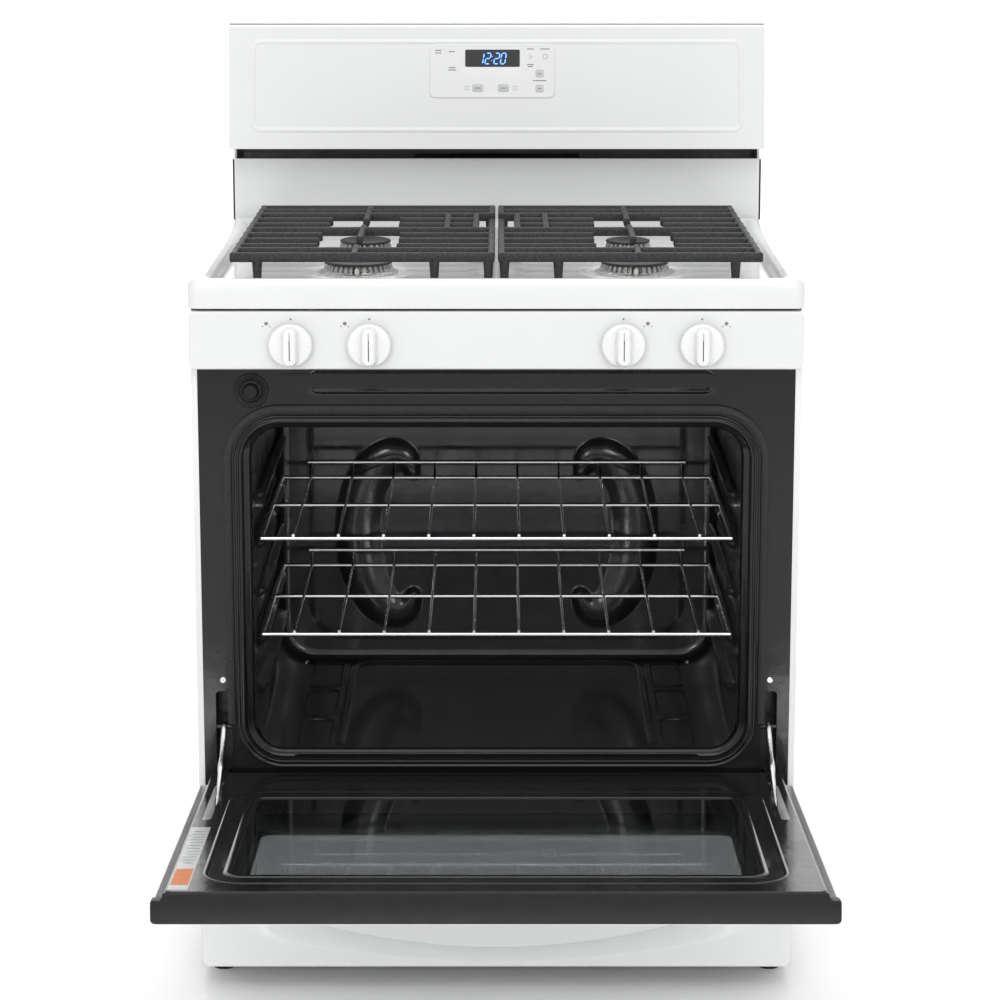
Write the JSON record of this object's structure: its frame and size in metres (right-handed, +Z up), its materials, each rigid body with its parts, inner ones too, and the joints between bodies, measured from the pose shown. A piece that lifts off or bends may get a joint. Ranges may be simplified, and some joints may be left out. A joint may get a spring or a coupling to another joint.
{
  "type": "freestanding gas range",
  "caption": "Freestanding gas range with a drop-down oven door, sealed burners under cast-iron grates, a rear control console and a lower drawer.",
  "frame": {"origin": "on the floor, midway across and midway between the open door's far end and the back", "axes": "+X to the right of a person facing the range, +Y to the back, +Z up"},
  "size_m": [0.759, 1.182, 1.191],
  "materials": {
    "white_enamel": "gloss white porcelain enamel",
    "white_paint": "satin white baked paint",
    "black_enamel": "gloss black porcelain enamel",
    "galvanised": "galvanised sheet",
    "chrome_wire": "bright chrome plate",
    "plated_steel": "bright zinc plate",
    "cast_iron": "matt black enamelled cast iron",
    "burner_aluminium": "die cast, matt",
    "cap_enamel": "matt black enamel",
    "ceramic": "white ceramic",
    "brass": "turned brass",
    "knob_plastic": "white moulded plastic",
    "black_plastic": "black moulded plastic",
    "keypad": "white keypad film",
    "display": "dark display pane",
    "oven_glass": "clear heat-strengthened glass",
    "lamp_glass": "domed lamp glass",
    "gasket": "braided glass fibre",
    "fibre": "mineral fibre blanket",
    "circuit_board": "printed board"
  },
  "bodies": {
    "cabinet": {"base_rails": "galvanised", "base_cross_members": "galvanised", "side_panel_right": "white_paint", "side_panel_left": "white_paint", "back_panel": "galvanised", "front_frame": "black_enamel", "hinge_receivers": "plated_steel", "door_gasket": "gasket", "switch_housing": "black_plastic", "screws": "plated_steel", "oven_liner": "black_enamel", "oven_floor_panel": "black_enamel", "burner_box": "galvanised", "oven_burner": "plated_steel", "oven_igniter": "ceramic", "temperature_probe": "plated_steel", "oven_lamp": "lamp_glass", "insulation": "fibre", "gas_pipe": "plated_steel", "regulator": "burner_aluminium", "gas_valves": "brass", "manifold_panel": "white_enamel", "cooktop": "white_enamel", "burner_bases": "burner_aluminium", "burner_heads": "burner_aluminium", "burner_caps": "cap_enamel", "spark_igniters": "ceramic", "backguard_riser": "white_enamel", "console_shell": "white_enamel", "console_back": "galvanised", "control_keypad": "keypad", "display_window": "display", "control_board": "circuit_board", "flue_duct": "black_enamel"},
    "door": {"door_skin": "white_enamel", "door_glass": "oven_glass", "door_liner": "black_enamel", "door_inner_glass": "oven_glass", "door_trim": "black_plastic", "door_handle": "knob_plastic"},
    "hinge_links": {"hinge_links": "plated_steel"},
    "plunger": {"switch_plunger": "black_plastic"},
    "rack_lower": {"rack_lower": "chrome_wire"},
    "rack_upper": {"rack_upper": "chrome_wire"},
    "drawer": {"drawer_front": "white_enamel", "drawer_box": "galvanised"},
    "grate_left": {"grate_left": "cast_iron"},
    "grate_right": {"grate_right": "cast_iron"},
    "stem_1": {"valve_stem_1": "brass"},
    "knob_1": {"knob_1": "knob_plastic"},
    "leg_1": {"leg_1": "black_plastic"},
    "stem_2": {"valve_stem_2": "brass"},
    "knob_2": {"knob_2": "knob_plastic"},
    "leg_2": {"leg_2": "black_plastic"},
    "stem_3": {"valve_stem_3": "brass"},
    "knob_3": {"knob_3": "knob_plastic"},
    "leg_3": {"leg_3": "black_plastic"},
    "stem_4": {"valve_stem_4": "brass"},
    "knob_4": {"knob_4": "knob_plastic"},
    "leg_4": {"leg_4": "black_plastic"}
  },
  "joints": [
    {"name": "door_hinge", "type": "hinge", "parent": "cabinet", "child": "door", "pos_m": [0, -0.07137, 0.2688], "axis": [-1, 0, 0], "range_deg": [0, 86]},
    {"name": "hinge_link_turn", "type": "hinge", "parent": "cabinet", "child": "hinge_links", "pos_m": [0, -0.04437, 0.338], "axis": [-1, 0, 0], "range_deg": [0, 108]},
    {"name": "switch_press", "type": "slide", "parent": "cabinet", "child": "plunger", "axis": [0, 1, 0], "range_m": [0, 0.0066]},
    {"name": "lower_rack_slide", "type": "slide", "parent": "cabinet", "child": "rack_lower", "axis": [0, 1, 0], "range_m": [-0.3, 0]},
    {"name": "upper_rack_slide", "type": "slide", "parent": "cabinet", "child": "rack_upper", "axis": [0, 1, 0], "range_m": [-0.3, 0]},
    {"name": "drawer_slide", "type": "slide", "parent": "cabinet", "child": "drawer", "axis": [0, 1, 0], "range_m": [-0.35, 0]},
    {"name": "left_grate_lift", "type": "slide", "parent": "cabinet", "child": "grate_left", "axis": [0, 0, 1], "range_m": [0, 0.12]},
    {"name": "right_grate_lift", "type": "slide", "parent": "cabinet", "child": "grate_right", "axis": [0, 0, 1], "range_m": [0, 0.12]},
    {"name": "valve_turn_1", "type": "hinge", "parent": "cabinet", "child": "stem_1", "pos_m": [-0.2525, -0.06637, 0.8335], "axis": [0, 1, 0], "range_deg": [-220, 0]},
    {"name": "knob_push_1", "type": "slide", "parent": "stem_1", "child": "knob_1", "axis": [0, 1, 0], "range_m": [0, 0.004], "stiffness_N_per_m": 500},
    {"name": "valve_turn_2", "type": "hinge", "parent": "cabinet", "child": "stem_2", "pos_m": [-0.156, -0.06637, 0.8335], "axis": [0, 1, 0], "range_deg": [-220, 0]},
    {"name": "knob_push_2", "type": "slide", "parent": "stem_2", "child": "knob_2", "axis": [0, 1, 0], "range_m": [0, 0.004], "stiffness_N_per_m": 500},
    {"name": "valve_turn_3", "type": "hinge", "parent": "cabinet", "child": "stem_3", "pos_m": [0.156, -0.06637, 0.8335], "axis": [0, 1, 0], "range_deg": [-220, 0]},
    {"name": "knob_push_3", "type": "slide", "parent": "stem_3", "child": "knob_3", "axis": [0, 1, 0], "range_m": [0, 0.004], "stiffness_N_per_m": 500},
    {"name": "valve_turn_4", "type": "hinge", "parent": "cabinet", "child": "stem_4", "pos_m": [0.2525, -0.06637, 0.8335], "axis": [0, 1, 0], "range_deg": [-220, 0]},
    {"name": "knob_push_4", "type": "slide", "parent": "stem_4", "child": "knob_4", "axis": [0, 1, 0], "range_m": [0, 0.004], "stiffness_N_per_m": 500},
    {"name": "leg_turn_1", "type": "hinge", "parent": "cabinet", "child": "leg_1", "pos_m": [-0.3553, 0.00063, 0], "axis": [0, 0, 1], "continuous": true},
    {"name": "leg_turn_2", "type": "hinge", "parent": "cabinet", "child": "leg_2", "pos_m": [0.3553, 0.00063, 0], "axis": [0, 0, 1], "continuous": true},
    {"name": "leg_turn_3", "type": "hinge", "parent": "cabinet", "child": "leg_3", "pos_m": [-0.3553, 0.53863, 0], "axis": [0, 0, 1], "continuous": true},
    {"name": "leg_turn_4", "type": "hinge", "parent": "cabinet", "child": "leg_4", "pos_m": [0.3553, 0.53863, 0], "axis": [0, 0, 1], "continuous": true}
  ],
  "couplings": [
    {"joint": "hinge_link_turn", "follows": "door_hinge", "ratio": 1.2381},
    {"joint": "switch_press", "follows": "door_hinge", "m_per_rad": 0.004197}
  ]
}
